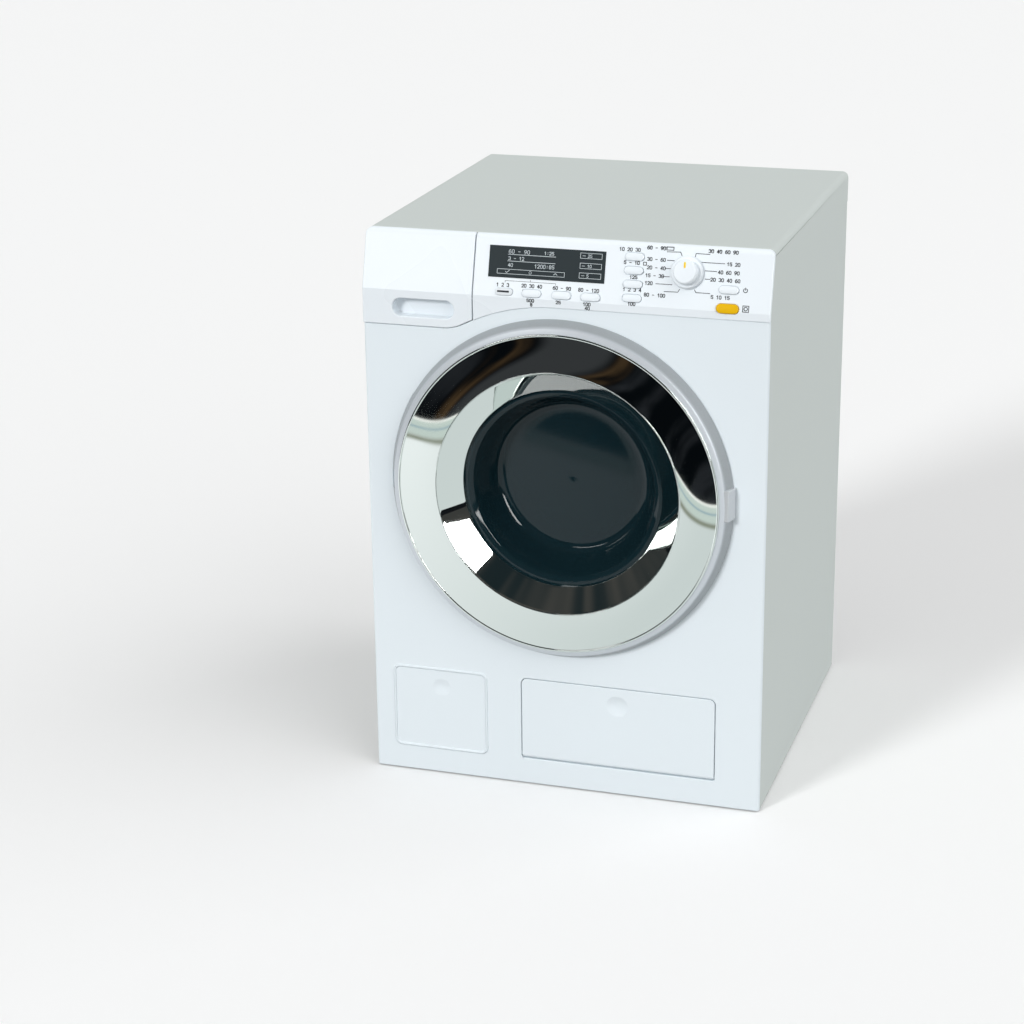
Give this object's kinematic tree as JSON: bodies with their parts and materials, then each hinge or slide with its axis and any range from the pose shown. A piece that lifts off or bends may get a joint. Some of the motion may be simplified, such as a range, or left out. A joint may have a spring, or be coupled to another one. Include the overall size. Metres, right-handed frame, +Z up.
{
  "type": "toy washing machine",
  "caption": "Toy front-loading washing machine with a hinged mirror-ringed door, turning drum, sloping control panel, detergent drawer and a dosing bay behind a fold-down flap.",
  "frame": {"origin": "centre of the footprint, on the underside of the base plate", "axes": "+X to the right as seen from the front, +Y from the front to the back, +Z up"},
  "size_m": [0.185, 0.1879, 0.26],
  "materials": {
    "cabinet_plastic": "satin",
    "front_plastic": "satin",
    "panel_plastic": "gloss",
    "base_plastic": "matte",
    "display_plastic": "gloss",
    "dark_plastic": "matte",
    "clear_plastic": "gloss",
    "circuit_board": "satin",
    "rubber": "matte",
    "steel": "brushed",
    "silver_plastic": "painted silver",
    "mirror_chrome": "mirror",
    "smoke_window": "clear smoke",
    "drum_plastic": "satin",
    "bush_plastic": "matte",
    "motor_metal": "satin",
    "yellow_plastic": "gloss",
    "blue_plastic": "gloss",
    "label": "printed",
    "battery_wrap": "printed wrap"
  },
  "bodies": {
    "cabinet": {"cabinet_shell": "cabinet_plastic", "front_panel": "front_plastic", "back_cover": "base_plastic", "base_plate": "base_plastic", "control_panel": "panel_plastic", "display_window": "display_plastic", "display_module": "dark_plastic", "status_window": "clear_plastic", "button_board": "circuit_board", "button_mat": "rubber", "rotary_switch": "steel", "latch_pin": "steel", "latch_spring": "steel", "door_hinge_pin": "steel", "tub": "drum_plastic", "tub_gasket": "rubber", "shaft_bush": "bush_plastic", "drive_belt": "rubber", "drive_motor": "motor_metal", "motor_bracket": "base_plastic", "drawer_sleeve": "base_plastic", "dosing_bay": "front_plastic", "battery_box": "dark_plastic", "battery_cells": "battery_wrap", "battery_cover": "base_plastic", "speaker": "dark_plastic", "case_screws": "steel"},
    "door": {"door_frame": "silver_plastic", "door_mirror_ring": "mirror_chrome", "door_mirror_funnel": "mirror_chrome", "door_bowl": "smoke_window", "door_back_ring": "front_plastic", "door_handle": "silver_plastic", "door_hook": "front_plastic"},
    "drawer": {"drawer_front": "panel_plastic", "drawer_tray": "clear_plastic"},
    "flap": {"dosing_flap": "front_plastic"},
    "blue_dose": {"blue_cartridge": "blue_plastic", "blue_label": "label"},
    "white_dose": {"white_cartridge": "panel_plastic", "white_label": "label"},
    "drum_unit": {"drum": "drum_plastic", "drum_paddles": "drum_plastic", "drum_shaft": "steel", "drum_pulley": "dark_plastic"},
    "motor_spindle": {"motor_pulley": "dark_plastic"},
    "latch": {"latch_lever": "dark_plastic"},
    "dial": {"dial_knob": "panel_plastic", "dial_skirt": "panel_plastic", "dial_index": "yellow_plastic", "dial_shaft": "steel"},
    "power_button_body": {"power_button": "panel_plastic"},
    "row_button_1_body": {"row_button_1": "panel_plastic"},
    "row_button_2_body": {"row_button_2": "panel_plastic"},
    "row_button_3_body": {"row_button_3": "panel_plastic"},
    "column_button_1_body": {"column_button_1": "panel_plastic"},
    "column_button_2_body": {"column_button_2": "panel_plastic"},
    "column_button_3_body": {"column_button_3": "panel_plastic"},
    "column_button_4_body": {"column_button_4": "panel_plastic"},
    "door_button_body": {"door_button": "yellow_plastic"}
  },
  "joints": [
    {"name": "door_hinge", "type": "hinge", "parent": "cabinet", "child": "door", "pos_m": [-0.0766, -0.0932, 0.1462], "axis": [0, 0, -1], "range_deg": [0, 110]},
    {"name": "drawer_slide", "type": "slide", "parent": "cabinet", "child": "drawer", "axis": [0, -1, 0], "range_m": [0, 0.038]},
    {"name": "flap_hinge", "type": "hinge", "parent": "cabinet", "child": "flap", "pos_m": [0.02545, -0.0884, 0.01495], "axis": [1, 0, 0], "range_deg": [0, 90]},
    {"name": "blue_slide", "type": "slide", "parent": "cabinet", "child": "blue_dose", "axis": [0, -1, 0], "range_m": [0, 0.0301]},
    {"name": "white_slide", "type": "slide", "parent": "cabinet", "child": "white_dose", "axis": [0, -1, 0], "range_m": [0, 0.0301]},
    {"name": "drum_spin", "type": "hinge", "parent": "cabinet", "child": "drum_unit", "pos_m": [-0.001, 0, 0.1462], "axis": [0, 1, 0], "continuous": true},
    {"name": "motor_spin", "type": "hinge", "parent": "cabinet", "child": "motor_spindle", "pos_m": [0.05, 0.03, 0.092], "axis": [0, 1, 0], "continuous": true},
    {"name": "dial_turn", "type": "hinge", "parent": "cabinet", "child": "dial", "pos_m": [0.0552, -0.0862, 0.249], "axis": [0, -0.9613, 0.2756], "continuous": true},
    {"name": "power_button_slide", "type": "slide", "parent": "cabinet", "child": "power_button_body", "axis": [0, 0.9613, -0.2756], "range_m": [0, 0.0012], "stiffness_N_per_m": 300, "springref_m": -0.0005},
    {"name": "row_button_1_slide", "type": "slide", "parent": "cabinet", "child": "row_button_1_body", "axis": [0, 0.9613, -0.2756], "range_m": [0, 0.0012], "stiffness_N_per_m": 300, "springref_m": -0.0005},
    {"name": "row_button_2_slide", "type": "slide", "parent": "cabinet", "child": "row_button_2_body", "axis": [0, 0.9613, -0.2756], "range_m": [0, 0.0012], "stiffness_N_per_m": 300, "springref_m": -0.0005},
    {"name": "row_button_3_slide", "type": "slide", "parent": "cabinet", "child": "row_button_3_body", "axis": [0, 0.9613, -0.2756], "range_m": [0, 0.0012], "stiffness_N_per_m": 300, "springref_m": -0.0005},
    {"name": "column_button_1_slide", "type": "slide", "parent": "cabinet", "child": "column_button_1_body", "axis": [0, 0.9613, -0.2756], "range_m": [0, 0.0012], "stiffness_N_per_m": 300, "springref_m": -0.0005},
    {"name": "column_button_2_slide", "type": "slide", "parent": "cabinet", "child": "column_button_2_body", "axis": [0, 0.9613, -0.2756], "range_m": [0, 0.0012], "stiffness_N_per_m": 300, "springref_m": -0.0005},
    {"name": "column_button_3_slide", "type": "slide", "parent": "cabinet", "child": "column_button_3_body", "axis": [0, 0.9613, -0.2756], "range_m": [0, 0.0012], "stiffness_N_per_m": 300, "springref_m": -0.0005},
    {"name": "column_button_4_slide", "type": "slide", "parent": "cabinet", "child": "column_button_4_body", "axis": [0, 0.9613, -0.2756], "range_m": [0, 0.0012], "stiffness_N_per_m": 300, "springref_m": -0.0005},
    {"name": "door_button_slide", "type": "slide", "parent": "cabinet", "child": "door_button_body", "axis": [0, 0.9613, -0.2756], "range_m": [0, 0.0012], "stiffness_N_per_m": 300, "springref_m": -0.0005},
    {"name": "latch_turn", "type": "hinge", "parent": "cabinet", "child": "latch", "pos_m": [0.0805, -0.0826, 0.19], "axis": [0, 1, 0], "range_deg": [0, 1.75]}
  ],
  "couplings": [
    {"joint": "blue_slide", "follows": "flap_hinge", "m_per_rad": 0.0191},
    {"joint": "white_slide", "follows": "flap_hinge", "m_per_rad": 0.0191},
    {"joint": "motor_spin", "follows": "drum_spin", "ratio": 4},
    {"joint": "latch_turn", "follows": "door_button_slide", "rad_per_m": 25}
  ]
}
